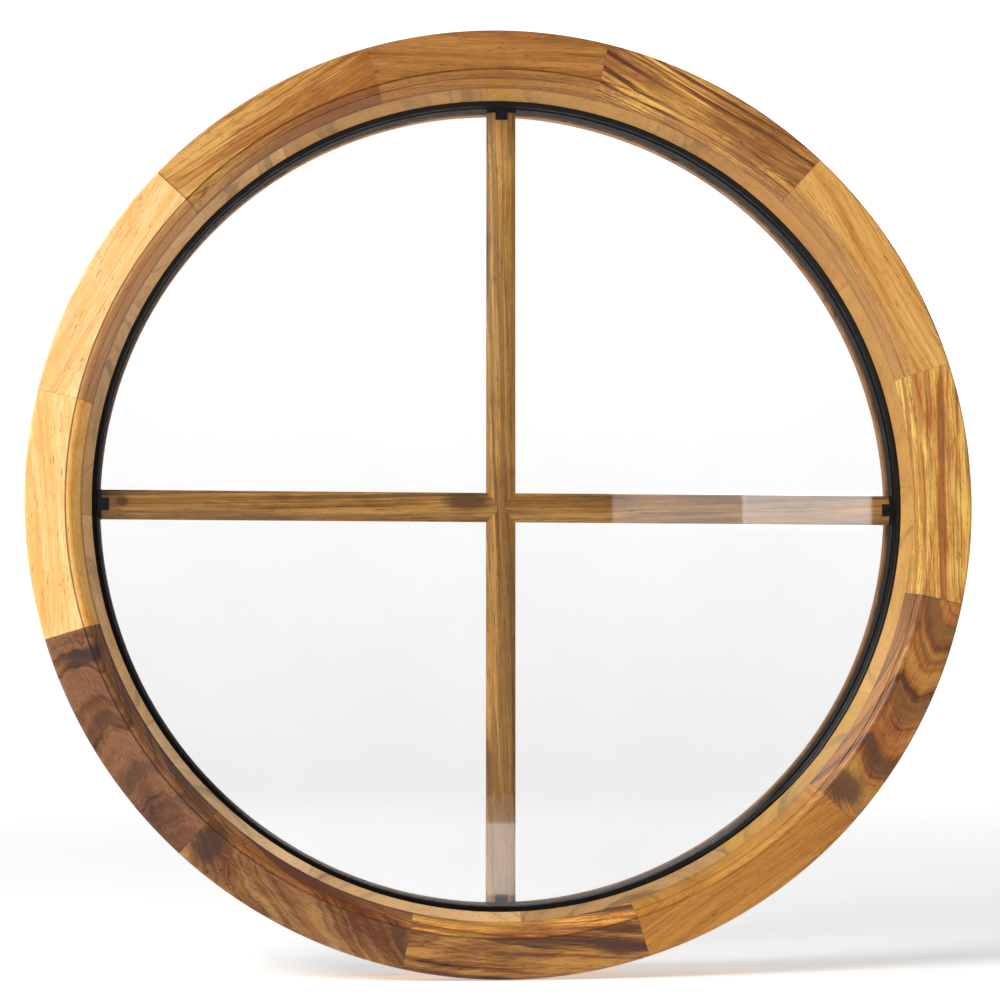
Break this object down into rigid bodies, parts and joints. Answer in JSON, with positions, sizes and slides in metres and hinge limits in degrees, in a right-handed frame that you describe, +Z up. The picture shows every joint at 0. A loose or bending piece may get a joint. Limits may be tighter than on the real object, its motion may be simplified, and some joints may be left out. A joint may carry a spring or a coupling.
{
  "type": "round window",
  "caption": "Round fixed window: a glued segmented wooden ring frame with a moulded reveal, double glazing and a cross of wooden bars between the panes.",
  "frame": {"origin": "the middle of the ring, at half its depth", "axes": "Y along the ring's axis with the front facing -Y, +Z up, +X to the right seen from the front"},
  "size_m": [0.8, 0.08, 0.8],
  "materials": {
    "front_wood_01": "satin lacquer",
    "front_wood_02": "satin lacquer",
    "front_wood_03": "satin lacquer",
    "front_wood_04": "satin lacquer",
    "front_wood_05": "satin lacquer",
    "front_wood_06": "satin lacquer",
    "front_wood_07": "satin lacquer",
    "front_wood_08": "satin lacquer",
    "front_wood_09": "satin lacquer",
    "front_wood_10": "satin lacquer",
    "front_wood_11": "satin lacquer",
    "front_wood_12": "satin lacquer",
    "middle_wood": "satin lacquer",
    "back_wood": "satin lacquer",
    "bead_wood": "satin lacquer",
    "bar_wood": "satin lacquer",
    "dowel_wood": "bare",
    "glass": "clear, polished",
    "spacer_foam": "matt",
    "butyl": "satin",
    "edge_sealant": "matt",
    "tape_foam": "matt",
    "silicone": "satin",
    "clip_plastic": "fine texture",
    "block_plastic": "matt",
    "pin_steel": "bright"
  },
  "bodies": {
    "root": {"front_segment_01": "front_wood_01", "front_segment_02": "front_wood_02", "front_segment_03": "front_wood_03", "front_segment_04": "front_wood_04", "front_segment_05": "front_wood_05", "front_segment_06": "front_wood_06", "front_segment_07": "front_wood_07", "front_segment_08": "front_wood_08", "front_segment_09": "front_wood_09", "front_segment_10": "front_wood_10", "front_segment_11": "front_wood_11", "front_segment_12": "front_wood_12", "middle_segment_01": "middle_wood", "middle_segment_02": "middle_wood", "middle_segment_03": "middle_wood", "middle_segment_04": "middle_wood", "middle_segment_05": "middle_wood", "middle_segment_06": "middle_wood", "middle_segment_07": "middle_wood", "middle_segment_08": "middle_wood", "middle_segment_09": "middle_wood", "middle_segment_10": "middle_wood", "middle_segment_11": "middle_wood", "middle_segment_12": "middle_wood", "back_segment_01": "back_wood", "back_segment_02": "back_wood", "back_segment_03": "back_wood", "back_segment_04": "back_wood", "back_segment_05": "back_wood", "back_segment_06": "back_wood", "back_segment_07": "back_wood", "back_segment_08": "back_wood", "back_segment_09": "back_wood", "back_segment_10": "back_wood", "back_segment_11": "back_wood", "back_segment_12": "back_wood", "glazing_bead_01": "bead_wood", "glazing_bead_02": "bead_wood", "glazing_bead_03": "bead_wood", "glazing_bead_04": "bead_wood", "end_clip_right": "clip_plastic", "end_clip_top": "clip_plastic", "end_clip_left": "clip_plastic", "end_clip_bottom": "clip_plastic", "outer_pane": "glass", "inner_pane": "glass", "spacer": "spacer_foam", "outer_butyl_seal": "butyl", "inner_butyl_seal": "butyl", "edge_sealant": "edge_sealant", "vertical_bar": "bar_wood", "left_bar": "bar_wood", "right_bar": "bar_wood", "bar_dowel": "dowel_wood", "front_tape": "tape_foam", "back_tape": "tape_foam", "front_sealant": "silicone", "setting_blocks": "block_plastic", "bead_pins": "pin_steel"}
  },
  "joints": []
}
